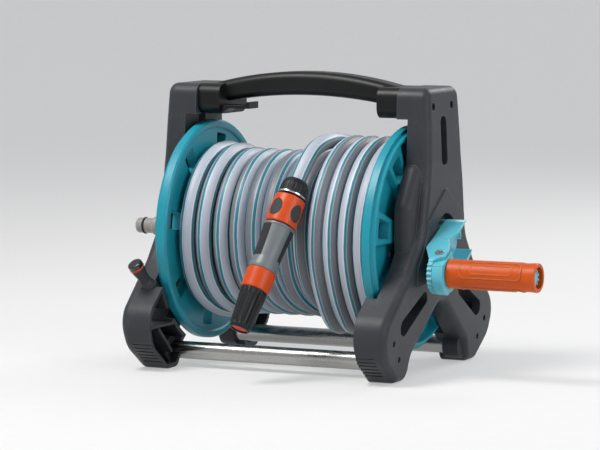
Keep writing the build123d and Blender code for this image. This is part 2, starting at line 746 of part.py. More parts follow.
# ---------------------------------------------------------------- crank grip
spindle_collar_r = 9.8
spindle_end_x = grip_end_x - 3
land_width = 12.0
far_land_x = grip_end_x - 30
knuckle_hub_reach = 14.0
spindle_web = 2.6
with BuildPart() as crank_knuckle:
    # barrel around the fold pin
    with BuildSketch(arm_upright.offset(-knuckle_half)):
        with Locations((fold_pin_reach, fold_pin_x)):
            Circle(barrel_r)
    extrude(amount=2 * knuckle_half)
    # disc at the foot of the grip, flat where it passes the arm's walls and floor
    with BuildSketch(crank_plane(knuckle_back_x)):
        with Locations((crank_r, 0)):
            Circle(knuckle_r)
            Rectangle(2 * knuckle_hub_reach, 2 * knuckle_half, mode=Mode.ADD)
        with Locations((crank_r, knuckle_half + 15), (crank_r, -knuckle_half - 15)):
            Rectangle(80, 30, mode=Mode.SUBTRACT)
        with Locations((crank_r - knuckle_hub_reach - 20, 0)):
            Rectangle(40, 60, mode=Mode.SUBTRACT)
    extrude(amount=knuckle_face_x - knuckle_back_x)
    # cross-ribbed spindle with a round collar behind each land of the grip
    with BuildSketch(crank_plane(knuckle_face_x)):
        with Locations((crank_r, 0)):
            Circle(spindle_r)
    extrude(amount=land_width + 2)
    with BuildSketch(crank_plane(knuckle_face_x)):
        with Locations((crank_r, 0)):
            with PolarLocations(0, 4, angular_range=180):
                Rectangle(2 * spindle_r - 1, spindle_web)
            Circle(4)
    extrude(amount=spindle_end_x - knuckle_face_x)
    with BuildSketch(crank_plane(far_land_x - land_width - 1)):
        with Locations((crank_r, 0)):
            Circle(spindle_r)
    extrude(amount=land_width + 1 + face_gap)
    with BuildSketch(crank_plane(far_land_x + face_gap)):
        with Locations((crank_r, 0)):
            Circle(spindle_collar_r)
    extrude(amount=2)
    with BuildSketch(arm_upright):
        with Locations((fold_pin_reach, fold_pin_x)):
            Circle(fold_pin_r + running_fit)
    extrude(amount=40, both=True, mode=Mode.SUBTRACT)
save(crank_knuckle, "crank_knuckle")

grip_axis = Axis(crank_plane(0).from_local_coords(Vector(crank_r, 0, 0)), (1, 0, 0))
grip_section = Plane(origin=grip_axis.position, x_dir=(1, 0, 0), z_dir=(0, -1, 0))
land_bore_r = spindle_r + running_fit
hollow_r = 11.4
# raised outlines of the finger panels, one inside the other
panel_turns = (92, 212, 332)
outline_rise = 0.45
with BuildPart() as grip_outlines:
    for turn in panel_turns:
        with BuildSketch(grip_section.rotated((turn, 0, 0)).offset(hollow_r + 1)):
            with Locations((grip_start_x + 48, 0)):
                RectangleRounded(68, 20, 7)
                RectangleRounded(65, 17, 5.5, mode=Mode.SUBTRACT)
            with Locations((grip_start_x + 49, 0)):
                RectangleRounded(46, 11, 4)
                RectangleRounded(43.4, 8.4, 2.8, mode=Mode.SUBTRACT)
        extrude(amount=grip_r)
    with BuildSketch(crank_plane(grip_start_x)):
        with Locations((crank_r, 0)):
            Circle(grip_r + outline_rise)
            Circle(hollow_r + 1, mode=Mode.SUBTRACT)
    extrude(amount=grip_length, mode=Mode.INTERSECT)

with BuildPart() as crank_grip:
    with BuildSketch(grip_section):
        with BuildLine():
            Polyline((grip_start_x, land_bore_r), (grip_start_x, grip_r - 0.8), (grip_start_x + 0.8, grip_r),
                     (grip_start_x + 68, grip_r))
            Spline((grip_start_x + 68, grip_r), (grip_end_x - 15, grip_r - 0.6),
                   (grip_end_x - 1, grip_r + 0.1), tangents=((1, 0), (1, 0.05)))
            Polyline((grip_end_x - 1, grip_r + 0.1), (grip_end_x, grip_r - 0.6), (grip_end_x, hollow_r),
                     (far_land_x, hollow_r), (far_land_x, land_bore_r),
                     (far_land_x - land_width, land_bore_r),
                     (far_land_x - land_width, hollow_r), (grip_start_x + land_width, hollow_r),
                     (grip_start_x + land_width, land_bore_r), (grip_start_x, land_bore_r))
        make_face()
    revolve(axis=grip_axis)
    add(grip_outlines.part)
save(crank_grip, "crank_grip")

# ---------------------------------------------------------------- hose wound on the drum
with BuildPart() as hose_winding:
    with BuildSketch(lengthwise(0)):
        with BuildLine():
            Polyline((-lip_face_x + 0.4, core_r + face_gap), (-lip_face_x + 0.4, loose_turns_r),
                     (loose_turns_end_x, loose_turns_r), (loose_turns_end_x, layer_one_r),
                     (layer_two_start_x, layer_one_r), (layer_two_start_x, layer_two_r),
                     (lip_face_x - 0.4, layer_two_r), (lip_face_x - 0.4, core_r + face_gap), close=True)
        make_face()
    revolve(axis=axle_line)
save(hose_winding, "hose_winding")

# ---------------------------------------------------------------- hose connector and nozzle
nut_start = 6.5
nut_end = 22.5
nut_r = 14.8
hose_insert = 14.0
sleeve_r = 12.4
collar_start = 27.0
collar_end = 58.0
collar_r = 16.4
collar_middle = (collar_start + collar_end) / 2 + 1
pad_half_width = 7.4
pad_half_length = 9.6
pad_turn = 19.4         # degrees about the nozzle of the first thumb pad
grip_turn = 146.4       # and of the first soft grip on the body
grip_half_angle = 48.0
grip_from = 62.5
grip_to = 97.0
grip_floor_r = 12.4
body_start = 59.5
body_end = 110.0
tip_start = body_end + face_gap
tip_ring_end = 132.0
tip_end = 176.0


nozzle_axis = Axis(nozzle_origin, nozzle_way)
nozzle_side = nozzle_way.cross(Vector(1, 0, 0)).normalized()


def nozzle_section(*profile):
    """Closed section of (distance along the nozzle, radius) points beside the nozzle's axis."""
    with BuildSketch(Plane(origin=nozzle_origin, x_dir=nozzle_way, z_dir=nozzle_side)) as section:
        with BuildLine():
            Polyline(*profile, close=True)
        make_face()
    return section.sketch


with BuildPart() as connector_nut:
    revolve(nozzle_section((nut_start, hose_r + seat_fit), (nut_start, 10.6), (nut_start + 2, 12.4),
            (nut_start + 6, 14.1), (nut_start + 10, nut_r), (nut_end, nut_r), (nut_end, sleeve_r + seat_fit),
            (hose_insert, sleeve_r + seat_fit), (hose_insert, hose_r + seat_fit)), axis=nozzle_axis)
    with BuildSketch(nozzle_plane(nut_start + 3)):
        with PolarLocations(nut_r + 0.5, 16):
            Circle(1.4)
    extrude(amount=nut_end - nut_start - 4.5, mode=Mode.SUBTRACT)
save(connector_nut, "connector_nut")

with BuildPart() as connector_ring:
    revolve(nozzle_section((nut_end, sleeve_r + seat_fit), (nut_end, 14.8), (nut_end + 0.5, 15.3),
            (nut_end + 1.5, 15.3), (nut_end + 2, 14.8), (nut_end + 2, sleeve_r + seat_fit)), axis=nozzle_axis)
save(connector_ring, "connector_ring")

with BuildPart() as connector_body:
    revolve(nozzle_section((hose_insert, 6), (hose_insert, sleeve_r), (collar_end + 0.8, sleeve_r),
            (collar_end + 0.8, 9), (50, 9), (50, 6)), axis=nozzle_axis)
save(connector_body, "connector_body")


def collar_prisms(half_width, half_length):
    """Four elliptical prisms pointing out of the nozzle's axis, one for each thumb pad."""
    with BuildPart() as prisms:
        for i in range(4):
            turn = Rotation(0, 0, pad_turn + 90 * i)
            facing = nozzle_plane(collar_middle).location * turn * Rotation(90, 0, 0)
            with BuildSketch(Plane(facing)):
                Ellipse(half_width, half_length)
            extrude(amount=30)
    return prisms.part


with BuildPart() as connector_collar:
    revolve(nozzle_section((collar_start, sleeve_r + face_gap), (collar_start, 15.4),
            (collar_start + 1, collar_r - 0.2), (35, collar_r), (50, collar_r), (collar_end - 1, collar_r - 0.1),
            (collar_end, 15.6), (collar_end, sleeve_r + face_gap)), axis=nozzle_axis)
    add(collar_prisms(pad_half_width, pad_half_length), mode=Mode.SUBTRACT)
save(connector_collar, "connector_collar")

with BuildPart() as collar_pads:
    revolve(nozzle_section((collar_start + 1, sleeve_r + face_gap), (collar_start + 1, collar_r - 0.5),
            (collar_end - 1, collar_r - 0.5), (collar_end - 1, sleeve_r + face_gap)), axis=nozzle_axis)
    add(collar_prisms(pad_half_width - seat_fit, pad_half_length - seat_fit), mode=Mode.INTERSECT)
save(collar_pads, "collar_pads")

def grip_prisms(clearance):
    """The space of the two soft grips beside the body's bare panel, larger by clearance."""
    with BuildPart() as prisms:
        with BuildSketch(nozzle_plane(grip_from - clearance)):
            add(ring_sectors(grip_floor_r - clearance, nut_r + 5, grip_half_angle + 2 * clearance,
                             (grip_turn, grip_turn + 180)))
        extrude(amount=grip_to - grip_from + 2 * clearance)
    return prisms.part


body_curve = ((grip_from, 15.8), (80, 14.4), (grip_to, 13.8))
with BuildPart() as nozzle_body:
    revolve(nozzle_section((body_start, 9), (body_start, 16.2), (61.5, 16.4), *body_curve, (103, 14.8),
            (107, 15.5), (body_end, 15.2), (body_end, 9), (body_end - 6, 9), (body_end - 6, 7), (52, 7),
            (52, 8.9), (body_start, 8.9)), axis=nozzle_axis)
    add(grip_prisms(seat_fit), mode=Mode.SUBTRACT)
save(nozzle_body, "nozzle_body")

with BuildPart() as nozzle_grips:
    raised = tuple((s, r + 0.4) for s, r in body_curve)
    revolve(nozzle_section((grip_from, 9), *raised, (grip_to, 9)), axis=nozzle_axis)
    add(grip_prisms(0), mode=Mode.INTERSECT)
save(nozzle_grips, "nozzle_grips")

with BuildPart() as nozzle_stem:
    revolve(nozzle_section((body_end - 6, 4), (body_end - 6, 6.9), (tip_start + 12, 6.9), (tip_start + 12, 5),
            (150, 5), (160, 2.2), (162, 2.2), (162, 0.8), (150, 0.8), (140, 4)), axis=nozzle_axis)
save(nozzle_stem, "nozzle_stem")

with BuildPart() as nozzle_tip_ring:
    revolve(nozzle_section((tip_start, 12.8), (tip_start, 14.9), (tip_start + 1.2, 15.4),
            (tip_ring_end - 1, 14.9), (tip_ring_end, 14.3), (tip_ring_end, 12.8)), axis=nozzle_axis)
save(nozzle_tip_ring, "nozzle_tip_ring")

with BuildPart() as nozzle_tip:
    revolve(nozzle_section((tip_start, 7.2), (tip_start, 12.75), (tip_ring_end + 0.05, 12.75),
            (tip_ring_end + 0.05, 14.1), (tip_end - 3, 11.2), (tip_end, 10.4), (tip_end, 8.6),
            (tip_end - 6, 8.6), (tip_end - 6, 5.4), (168, 5.4), (160, 7.2)), axis=nozzle_axis)
    with BuildSketch(nozzle_plane(tip_ring_end + 6)):
        with PolarLocations(14.6, 14):
            Circle(1.5)
    extrude(amount=40, mode=Mode.SUBTRACT)
save(nozzle_tip, "nozzle_tip")

with BuildPart() as nozzle_face:
    revolve(nozzle_section((tip_end - 6, 3), (tip_end - 6, 8.55), (tip_end - 1.5, 8.55), (tip_end - 1.5, 6),
            (tip_end - 3.5, 3)), axis=nozzle_axis)
save(nozzle_face, "nozzle_face")

# ---------------------------------------------------------------- free end of the hose
tail_x = layer_two_start_x - hose_r - 0.7
tail_r = layer_one_r + hose_r + 0.5
tail_step = 30
tail_corner_r = tail_r / cos(radians(tail_step / 2))
tail_start_angle = -60
tail_points = [
    (tail_x, tail_corner_r * cos(radians(angle)), tail_corner_r * sin(radians(angle)))
    for angle in range(tail_start_angle, 91, tail_step)
]
tail_points.append((34.0, -46.0, 99.0))
tail_route = [Vector(drum_x + x, y, axle_z + z) for x, y, z in tail_points]
tail_route += [nozzle_origin - nozzle_way * 22, nozzle_origin + nozzle_way * hose_insert]
tail_radii = []
for before, corner, after in zip(tail_route, tail_route[1:], tail_route[2:]):
    turn = (corner - before).get_angle(after - corner)
    tail_radii.append(0.45 * min((corner - before).length, (after - corner).length) / tan(radians(turn / 2)))
print("tail radii", [round(radius, 1) for radius in tail_radii])
with BuildPart() as hose_tail:
    with BuildLine() as tail_path:
        FilletPolyline(*tail_route, radius=tail_radii)
    with BuildSketch(Plane(origin=tail_path.line @ 0, z_dir=tail_path.line % 0)):
        Circle(hose_r)
    sweep(path=tail_path.line)
tail_length = tail_path.wires()[0].length
print("tail length", tail_length, "volume share", hose_tail.part.volume / (pi * hose_r ** 2 * tail_length))
save(hose_tail, "hose_tail")

# ---------------------------------------------------------------- parking post for the nozzle
with BuildPart() as parking_post:
    with BuildSketch(Plane(origin=post_foot, x_dir=post_side, z_dir=post_side.cross(post_way))):
        with BuildLine():
            Polyline((0, -post_plug), (post_plug_r, -post_plug), (post_plug_r, 0), (post_flange_r, 0),
                     (8.0, 2), (6.2, 6), (6.0, 12), (7.4, 20), (7.4, 22.9), (3, 22.9), (3, 28.8), (0, 28.8), close=True)
        make_face()
    revolve(axis=Axis(post_foot, post_way))
save(parking_post, "parking_post")

with BuildPart() as parking_ring:
    with BuildSketch(post_plane(23)):
        Circle(8.2)
        Circle(3 + seat_fit, mode=Mode.SUBTRACT)
    extrude(amount=2)
    fillet(parking_ring.edges().filter_by(GeomType.CIRCLE).group_by(SortBy.RADIUS)[-1], 0.8)
save(parking_ring, "parking_ring")

with BuildPart() as parking_cap:
    with BuildSketch(post_plane(25.1)):
        Circle(8)
    extrude(amount=5)
    fillet(parking_cap.faces().sort_by(Axis(post_foot, post_way))[-1].edges(), 1.6)
    with BuildSketch(post_plane(25)):
        Circle(3 + seat_fit)
    extrude(amount=4, mode=Mode.SUBTRACT)
save(parking_cap, "parking_cap")
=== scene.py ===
# %% [markdown]
# # A garden hose reel cart
# Two moulded side frames stand on two bright steel tubes and carry a drum full of hose. The solid
# model comes first and is never moved: this script dresses it. Each step says what the piece or the
# finish is on the real cart, how it could be made, and why it is made the way that follows.

# %% Load the solid model
import json
from math import cos, pi, radians, sin

import bmesh
import bpy
from mathutils import Matrix, Vector


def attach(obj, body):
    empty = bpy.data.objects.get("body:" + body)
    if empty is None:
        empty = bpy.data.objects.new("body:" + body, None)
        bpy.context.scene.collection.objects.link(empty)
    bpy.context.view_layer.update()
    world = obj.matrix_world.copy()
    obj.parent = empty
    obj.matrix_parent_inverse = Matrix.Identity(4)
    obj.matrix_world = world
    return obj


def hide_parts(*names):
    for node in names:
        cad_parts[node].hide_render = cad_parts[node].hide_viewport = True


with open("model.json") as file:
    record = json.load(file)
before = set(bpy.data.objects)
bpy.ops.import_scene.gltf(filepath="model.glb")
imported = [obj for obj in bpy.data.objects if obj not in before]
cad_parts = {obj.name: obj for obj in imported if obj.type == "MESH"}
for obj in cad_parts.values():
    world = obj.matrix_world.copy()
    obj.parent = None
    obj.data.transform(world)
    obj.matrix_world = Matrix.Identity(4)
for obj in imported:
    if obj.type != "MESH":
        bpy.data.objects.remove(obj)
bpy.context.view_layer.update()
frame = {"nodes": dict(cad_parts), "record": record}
nodes = frame["nodes"]

# %% [markdown]
# The drum turns on an axle that runs across the cart. Every place could be written in scene metres,
# but most pieces here belong to the drum, so its middle is the handiest place to measure from. Small
# helpers turn millimetres from there, or an angle and a radius round it, into scene metres.

# %% Measuring from the drum
MM = 0.001
drum_middle = Vector((-0.038, 0.0, 0.1387))
scene = bpy.context.scene


def from_drum(x, y, z):
    """A point given in millimetres from the middle of the drum, in scene metres."""
    return drum_middle + Vector((x, y, z)) * MM


def round_drum(x, angle, radius):
    """A point at an angle round the drum in degrees: 0 is its back, 90 its top and 180 its front."""
    return from_drum(x, radius * cos(radians(angle)), radius * sin(radians(angle)))


def link(name, data):
    """Put new data into the scene as an object that stays at the origin."""
    piece = bpy.data.objects.new(name, data)
    scene.collection.objects.link(piece)
    return piece


print("the drum's middle stands", round(drum_middle.z, 3), "m above the ground")

# %% [markdown]
# A short lens close by would make the near frame swell. A long lens a few metres away keeps both
# frames nearly the same size, and looks slightly down on the crank side. A camera could be aimed at a
# point, but directions that are written out fix exactly how far it turns and looks down. It looks
# along its own -Z, and the three rows are its right, up and back directions.

# %% The camera
camera_right = Vector((0.90299, 0.42966, 0.0))
camera_up = Vector((-0.03999, 0.08405, 0.99566))
camera_back = Vector((0.42780, -0.89907, 0.09308))
camera_place = from_drum(1407.3, -2982.7, 316.5)
camera_data = bpy.data.cameras.new("camera")
camera_data.lens = 188.02
camera_data.sensor_width = 36.0
camera_data.clip_end = 100.0
camera = link("camera", camera_data)
camera.matrix_world = (
    Matrix.Translation(camera_place)
    @ Matrix((camera_right, camera_up, camera_back)).transposed().to_4x4()
)
scene.camera = camera
print("camera stands", round((camera_place - drum_middle).length, 2), "m from the drum")

# %% [markdown]
# A real hose of this kind is about 16.8 mm thick outside and stiff enough to keep wide curves. On the
# reel its turns lie side by side. The first layer fills the whole drum. At the inlet side its turns
# lie tight at the top, fan out low at the front and stand a little further from the core; towards the
# crank they are spaced more evenly. A second, shorter layer lies on it next to the crank flange. One
# even helix would be simpler but looks wound by a machine, so each turn gets a lane of its own.

# %% Lanes of the wound hose
hose_diameter = 0.0168

# lane centres from the drum's middle, at the top and low at the front, and the lane's radius
first_layer = [
    (-99.5, -102.2, 86.4), (-82.3, -83.4, 84.8), (-65.2, -64.6, 80.6), (-48.0, -45.6, 79.8),
    (-30.6, -27.0, 79.6), (-12.6, -8.6, 79.6), (5.8, 9.8, 79.6), (24.6, 28.0, 79.6),
    (43.4, 46.0, 79.6), (62.4, 64.4, 79.6), (81.4, 82.8, 79.6), (100.6, 101.4, 79.6),
]
second_layer = [(102.3, 102.3, 96.4), (85.4, 85.4, 96.4), (68.5, 68.5, 96.4), (51.6, 51.6, 96.4)]
tail_lane = (34.5, 34.5, 96.9)

# the stretch from the clamp nut on the core out to the first lane: distance along, angle, radius
lead_in = [
    (-100.0, -139.5, 51.5), (-100.0, -126.9, 55.9), (-100.0, -116.3, 62.8), (-100.0, -108.5, 70.7),
    (-100.3, -101.0, 77.2), (-101.2, -92.0, 82.2), (-101.9, -82.0, 85.2), (-101.9, -70.0, 86.4),
]
print("the hose lies in", len(first_layer), "and", len(second_layer), "lanes")

# %% [markdown]
# Each turn keeps its own lane most of the way round and crosses to the next lane under the drum, where
# that hardly shows. The control points could be placed by hand, but there are hundreds, so a loop works
# them out from the lanes, 24 to a turn. A quadratic NURBS runs smoothly just inside its control points,
# so their radius is made slightly larger.

# %% Route of the wound hose
points_per_turn = 24
# the share of its corners' radius at which the smooth curve runs
inside_polygon = 0.75 + 0.25 * cos(2 * pi / points_per_turn)
# angles round the drum in degrees
crossing_start, crossing_end = 210, 300
top_angle = 60


def smooth_step(t):
    """Rise from 0 to 1 with level ends."""
    t = min(max(t, 0.0), 1.0)
    return t * t * (3 - 2 * t)


def lane_place(lane, angle):
    """Distance along the axle and radius of a lane at an angle round the drum."""
    low = 0.5 - 0.5 * cos(radians(angle - top_angle))
    at_top, at_bottom, radius = lane
    return at_top + (at_bottom - at_top) * low, radius


def wound_points():
    """Control points of the wound hose, in scene metres, from inside the drum to the tail."""
    lanes = first_layer + second_layer + [tail_lane]
    points = list(lead_in)
    step = 360 / points_per_turn
    for lane, following in zip(lanes, lanes[1:]):
        for i in range(points_per_turn):
            angle = crossing_end - 360 + i * step
            share = smooth_step((angle % 360 - crossing_start) / (crossing_end - crossing_start))
            if angle % 360 >= crossing_end:
                share = 0.0
            x_here, r_here = lane_place(lane, angle)
            x_next, r_next = lane_place(following, angle)
            points.append((x_here + (x_next - x_here) * share, angle, r_here + (r_next - r_here) * share))
    x, radius = lane_place(tail_lane, crossing_end)
    points.append((x, crossing_end, radius))
    return [round_drum(x, angle, radius / inside_polygon) for x, angle, radius in points]


wound_route = wound_points()
print("the wound hose's route has", len(wound_route), "points")


# %% [markdown]
# A hose could be a swept solid or a skinned mesh. A curve with a round bevel is lighter, stays smooth at
# every turn and brings a UV map that follows the hose, which the coloured bands need. The whole coil is
# one cord that turns with the drum, and its length is measured on a copy without the bevel.

# %% The wound hose
def hose_curve(name, points, resolution):
    """A round hose along one open quadratic NURBS, with resolution steps between control points."""
    curve = bpy.data.curves.new(name, "CURVE")
    curve.dimensions = "3D"
    spline = curve.splines.new("NURBS")
    spline.points.add(len(points) - 1)
    for knot, place in zip(spline.points, points):
        knot.co = (*place, 1.0)
        knot.radius = hose_diameter / 2
    spline.order_u = 3
    spline.use_endpoint_u = True
    curve.resolution_u = resolution
    curve.bevel_depth = 1.0
    curve.bevel_resolution = 6
    curve.use_fill_caps = True
    return link(name, curve)


def curve_length(piece):
    """Length of a curve's own line, from its evaluated points."""
    plain = piece.data.copy()
    plain.bevel_depth = 0.0
    probe = bpy.data.objects.new("probe", plain)
    line = bpy.data.meshes.new_from_object(probe)
    places = [vertex.co for vertex in line.vertices]
    length = sum((places[edge.vertices[0]] - places[edge.vertices[1]]).length for edge in line.edges)
    bpy.data.objects.remove(probe)
    bpy.data.curves.remove(plain)
    bpy.data.meshes.remove(line)
    return length


wound_hose = hose_curve("wound_hose", wound_route, resolution=2)
wound_length = curve_length(wound_hose)
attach(wound_hose, "drum")
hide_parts("hose_winding")
print("wound hose", round(wound_length, 2), "m")

# %% [markdown]
# The last turn leaves the drum's second layer at the back, rises over the top and comes down to the
# nozzle, which lies on the front of the reel. It could be the end of the coil's own curve, but the
# nozzle belongs to the cart and not to the drum, so this stretch is a cord of its own that stays with
# the frames. Its control points are the corners of the solid tube's route.

# %% The free end of the hose
nozzle_way = Vector((-0.146, -0.501, -0.853)).normalized()
nozzle_side = nozzle_way.cross(Vector((0, -1, 0))).normalized()
nozzle_mouth = from_drum(29.5, -88.0, 67.5)
straight_before_mouth, inside_mouth = 22 * MM, 14 * MM
tail_x, _, tail_radius = tail_lane
tail_step, tail_top = 30, 90
tail_corner_radius = tail_radius / cos(radians(tail_step / 2))
tail_route = [
    round_drum(tail_x, angle, tail_corner_radius)
    for angle in range(crossing_end - 360, tail_top + 1, tail_step)
]
tail_route += [
    from_drum(34.0, -46.0, 99.0),
    nozzle_mouth - nozzle_way * straight_before_mouth,
    nozzle_mouth + nozzle_way * inside_mouth,
]
hose_end = hose_curve("hose_end", tail_route, resolution=12)
end_length = curve_length(hose_end)
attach(hose_end, "cart")
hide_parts("hose_tail")
print("hose end", round(end_length, 3), "m")

# %% [markdown]
# The rivet that the crank folds about is a turned pin with a hollow in its head. It could be put
# together from cylinders, but one spin of half of its outline gives pin, head and hollow at once, as a
# lathe does. It is then laid along its axis and given smooth faces with crisp edges between them. A
# spin leaves its edges and faces in an order that changes from run to run, so they are sorted.

# %% The fold rivet
merge_within = 0.000001
crisp_angle = radians(32)


def settle(name, shape, node, body):
    """Make a bmesh an object that rides on a body in a solid node's place."""
    bmesh.ops.remove_doubles(shape, verts=shape.verts, dist=merge_within)
    bmesh.ops.recalc_face_normals(shape, faces=shape.faces)
    mesh = bpy.data.meshes.new(name)
    shape.to_mesh(mesh)
    shape.free()
    mesh.shade_smooth()
    mesh.set_sharp_from_angle(angle=crisp_angle)
    piece = link(name, mesh)
    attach(piece, body)
    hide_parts(node)
    return piece


def corner_number(part):
    """One number for an edge or a face, made of its corners' numbers."""
    number = 0
    for index in sorted(corner.index for corner in part.verts):
        number = number * 1000 + index
    return number


def spun(outline, steps):
    """A bmesh turned about Z from a closed outline of (distance along it, radius) in millimetres."""
    shape = bmesh.new()
    corners = [shape.verts.new((radius * MM, 0.0, along * MM)) for along, radius in outline]
    sides = [shape.edges.new(pair) for pair in zip(corners, corners[1:] + corners[:1])]
    bmesh.ops.spin(
        shape, geom=corners + sides, cent=(0, 0, 0), axis=(0, 0, 1), angle=2 * pi, steps=steps,
        use_merge=True,
    )
    bmesh.ops.remove_doubles(shape, verts=shape.verts, dist=merge_within)
    shape.verts.index_update()
    for parts in (shape.edges, shape.faces):
        parts.sort(key=corner_number)
    return shape


def place_on(shape, start, way):
    """Move a bmesh so that its own Z runs along way from start."""
    turn = Vector(way).to_track_quat("Z", "Y").to_matrix().to_4x4()
    bmesh.ops.transform(shape, matrix=Matrix.Translation(start) @ turn, verts=shape.verts)


# the angle at which the crank arm stands round the drum
crank_angle = 205.8
arm_way = Vector((0.0, cos(radians(crank_angle)), sin(radians(crank_angle))))
rivet_way = Vector((0.0, arm_way.z, -arm_way.y))
rivet_x, rivet_reach = 176.0, 62.0
rivet_outline = [
    (-21.7, 0.0), (-21.7, 2.5), (21.55, 2.5), (21.55, 4.6), (22.5, 4.6),
    (22.9, 4.2), (22.9, 2.7), (22.6, 2.3), (21.8, 2.2), (21.8, 0.0),
]
rivet_shape = spun(rivet_outline, steps=48)
place_on(rivet_shape, round_drum(rivet_x, crank_angle, rivet_reach), rivet_way)
fold_rivet = settle("fold_rivet", rivet_shape, "crank_fold_pin", "drum")
print("rivet has", len(fold_rivet.data.polygons), "faces")

# %% [markdown]
# The crank arm is an open moulding with a channel that the folded grip lies in. Its two side walls run
# out a little lower at the hub's end. The arm could be built again from operators, but only those rims
# change, so a copy of the solid is trimmed: its triangles are merged, flat faces are joined, and a
# slanted plane cuts the rims.

# %% Crank arm
hub_end = 22 * MM
# the plane starts this far out at the hub's end and rises by so much over a run, in millimetres
rim_x, rim_rise, rim_run = 177, 4, 52
weld_within = 0.000002
flat_within = radians(0.3)
arm_shape = bmesh.new()
arm_shape.from_mesh(nodes["crank_arm"].data)
bmesh.ops.remove_doubles(arm_shape, verts=arm_shape.verts, dist=weld_within)
bmesh.ops.dissolve_limit(arm_shape, angle_limit=flat_within, verts=arm_shape.verts, edges=arm_shape.edges)
trimmed = bmesh.ops.bisect_plane(
    arm_shape,
    geom=arm_shape.verts[:] + arm_shape.edges[:] + arm_shape.faces[:],
    dist=merge_within,
    plane_co=from_drum(rim_x, 0, 0) - arm_way * hub_end,
    plane_no=Vector((1, 0, 0)) - arm_way * (rim_rise / rim_run),
    clear_outer=True,
)
rim = [part for part in trimmed["geom_cut"] if isinstance(part, bmesh.types.BMEdge)]
bmesh.ops.triangle_fill(arm_shape, edges=rim, use_beauty=True)
arm_shell = settle("arm_shell", arm_shape, "crank_arm", "drum")
print("arm has", len(arm_shell.data.polygons), "faces")

# %% [markdown]
# The floor is one plain pale sheet. A flat one would end in a horizon line, so this one curves up far
# away from the cart on every side. It is a flat grid whose outer part is lifted like the rim of a dish.

# %% Floor
floor_cells, floor_half = 80, 8.0
flat_radius, steepness = 3.4, 0.22
floor_shape = bmesh.new()
bmesh.ops.create_grid(floor_shape, x_segments=floor_cells, y_segments=floor_cells, size=floor_half)
for corner in floor_shape.verts:
    beyond = max(0.0, corner.co.length - flat_radius)
    corner.co.z = steepness * beyond * beyond
floor_mesh = bpy.data.meshes.new("floor")
floor_shape.to_mesh(floor_mesh)
floor_shape.free()
floor_mesh.shade_smooth()
floor = link("floor", floor_mesh)
print("floor has", len(floor_mesh.polygons), "faces")

# %% [markdown]
# Small bare lamps would throw hard shadows. Large soft ones keep the colours close to how they are
# written: one above and to the left shapes the drum, a lower one fills the crank side, one behind edges
# the far parts, and a pale sky fills the rest.

# %% Light
world = bpy.data.worlds.new("pale sky")
scene.world = world
world.use_nodes = True
sky = world.node_tree.nodes["Background"]
sky.inputs["Color"].default_value = (0.92, 0.94, 1.0, 1.0)
sky.inputs["Strength"].default_value = 0.42


def soft_lamp(name, place, aim, width, watts, tint=(1.0, 1.0, 1.0)):
    """A square lamp at place that faces aim; both are in scene metres."""
    data = bpy.data.lights.new(name, "AREA")
    data.size = width
    data.energy = watts
    data.color = tint
    lamp = link(name, data)
    aimed = (Vector(aim) - Vector(place)).to_track_quat("-Z", "Y").to_matrix().to_4x4()
    lamp.matrix_world = Matrix.Translation(place) @ aimed


warm, cool = (1.0, 0.98, 0.95), (0.95, 0.98, 1.0)
soft_lamp("lamp above", (-0.55, -0.75, 1.6), (0.0, 0.0, 0.15), width=0.7, watts=27.0, tint=warm)
soft_lamp("lamp at the crank side", (1.9, -0.6, 0.9), (0.0, 0.0, 0.15), width=1.0, watts=13.0, tint=cool)
soft_lamp("lamp behind", (0.6, 1.8, 1.4), (0.0, 0.0, 0.2), width=1.0, watts=20.0)

scene.view_settings.view_transform = "Standard"


# %% [markdown]
# A finish is a network of nodes, and one statement for each value and link would be long to read. A few
# helpers add a node and set or connect its inputs in one go. Colours are written as hexadecimal codes,
# as a paint chart gives them, and turned into linear light.

# %% Helpers for finishes
def rgb(code):
    """A colour from a hexadecimal code, as linear light."""
    parts = [int(code[i:i + 2], 16) / 255 for i in (0, 2, 4)]
    linear = [part / 12.92 if part <= 0.04045 else ((part + 0.055) / 1.055) ** 2.4 for part in parts]
    return (*linear, 1.0)


def new_group(name, inputs, outputs):
    """An empty shader node group with named sockets, and its input and output nodes."""
    group = bpy.data.node_groups.new(name, "ShaderNodeTree")
    for label, kind, value in inputs:
        socket = group.interface.new_socket(label, in_out="INPUT", socket_type=kind)
        if value is not None:
            socket.default_value = value
    for label, kind in outputs:
        group.interface.new_socket(label, in_out="OUTPUT", socket_type=kind)
    return group, group.nodes.new("NodeGroupInput"), group.nodes.new("NodeGroupOutput")


def chain(tree, kind, settings=(), **inputs):
    """Add a node, set its properties, and fill or connect its inputs by name, or by number as _0."""
    node = tree.nodes.new(kind)
    for key, value in settings:
        setattr(node, key, value)
    for key, value in inputs.items():
        numbered = key[0] == "_" and key[1:].isdigit()
        socket = node.inputs[int(key[1:])] if numbered else node.inputs[key.replace("_", " ")]
        if isinstance(value, bpy.types.NodeSocket):
            tree.links.new(value, socket)
        else:
            socket.default_value = value
    return node


def calculate(tree, operation, *values):
    """The result of one Math node on numbers or sockets."""
    inputs = {f"_{i}": value for i, value in enumerate(values)}
    return chain(tree, "ShaderNodeMath", [("operation", operation)], **inputs).outputs["Value"]


def dot(tree, first, second):
    """How far one vector reaches along another, as a socket."""
    both = chain(tree, "ShaderNodeVectorMath", [("operation", "DOT_PRODUCT")], _0=first, _1=second)
    return both.outputs["Value"]


def blend(tree, share, under, over):
    """A colour between two others, each a colour or a socket."""
    return chain(tree, "ShaderNodeMix", [("data_type", "RGBA")], _0=share, _6=under, _7=over).outputs[2]


def start_material(name):
    """A node material with its shader and the object's own coordinates."""
    material = bpy.data.materials.new(name)
    material.use_nodes = True
    tree = material.node_tree
    shader = tree.nodes["Principled BSDF"]
    place = tree.nodes.new("ShaderNodeTexCoord").outputs["Object"]
    return material, tree, shader, place


